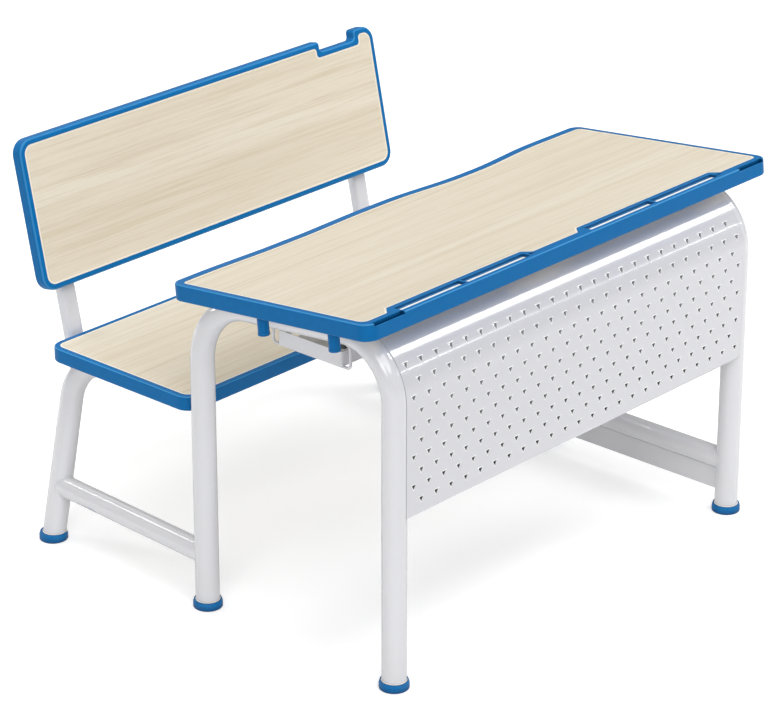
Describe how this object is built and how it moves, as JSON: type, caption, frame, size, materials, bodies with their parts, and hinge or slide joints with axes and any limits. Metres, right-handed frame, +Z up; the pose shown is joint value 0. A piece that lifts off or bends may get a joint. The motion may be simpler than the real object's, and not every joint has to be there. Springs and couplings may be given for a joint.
{
  "type": "classroom desk",
  "caption": "School desk for two pupils with an attached bench: sloping laminate top, blue edging, white tube frame, perforated modesty panel and book tray.",
  "frame": {"origin": "on the floor, in the middle of the whole desk and bench", "axes": "+X along the width, +Y from the modesty panel to the backrest, +Z up; left and right in the names are as seen from the panel's side"},
  "size_m": [1.2, 1.0714, 0.8471],
  "materials": {
    "blue_plastic": "satin moulded plastic",
    "laminate": "pale maple laminate, satin",
    "white_steel": "white powder coat, semi-gloss",
    "zinc": "zinc-plated steel",
    "grey_plastic": "dark grey moulded plastic",
    "white_plastic": "pale moulded plastic"
  },
  "bodies": {
    "root": {"desk_top_edge": "blue_plastic", "seat_edge": "blue_plastic", "backrest_edge": "blue_plastic", "left_bag_pegs": "blue_plastic", "right_bag_pegs": "blue_plastic", "left_front_foot": "blue_plastic", "left_rear_foot": "blue_plastic", "right_front_foot": "blue_plastic", "right_rear_foot": "blue_plastic", "left_bench_foot": "blue_plastic", "right_bench_foot": "blue_plastic", "desk_top_board": "laminate", "seat_board": "laminate", "backrest_board": "laminate", "left_desk_frame": "white_steel", "right_desk_frame": "white_steel", "modesty_panel": "white_steel", "left_bench_frame": "white_steel", "right_bench_frame": "white_steel", "left_stretcher": "white_steel", "right_stretcher": "white_steel", "right_foot_bar": "white_steel", "right_kick_strip": "white_steel", "left_backrest_post": "white_steel", "right_backrest_post": "white_steel", "left_top_lugs": "white_steel", "right_top_lugs": "white_steel", "left_seat_lugs": "white_steel", "right_seat_lugs": "white_steel", "book_tray": "white_steel", "left_tray_cradle": "white_steel", "right_tray_cradle": "white_steel", "tray_rail": "white_steel", "top_screws": "zinc", "seat_screws": "zinc", "panel_screws": "zinc", "tray_clip_screws": "zinc", "backrest_bolts": "zinc", "left_tray_clips": "grey_plastic", "right_tray_clips": "grey_plastic", "left_rail_plug": "grey_plastic", "right_rail_plug": "grey_plastic", "post_caps": "grey_plastic", "pen_groove_liners": "white_plastic"}
  },
  "joints": []
}
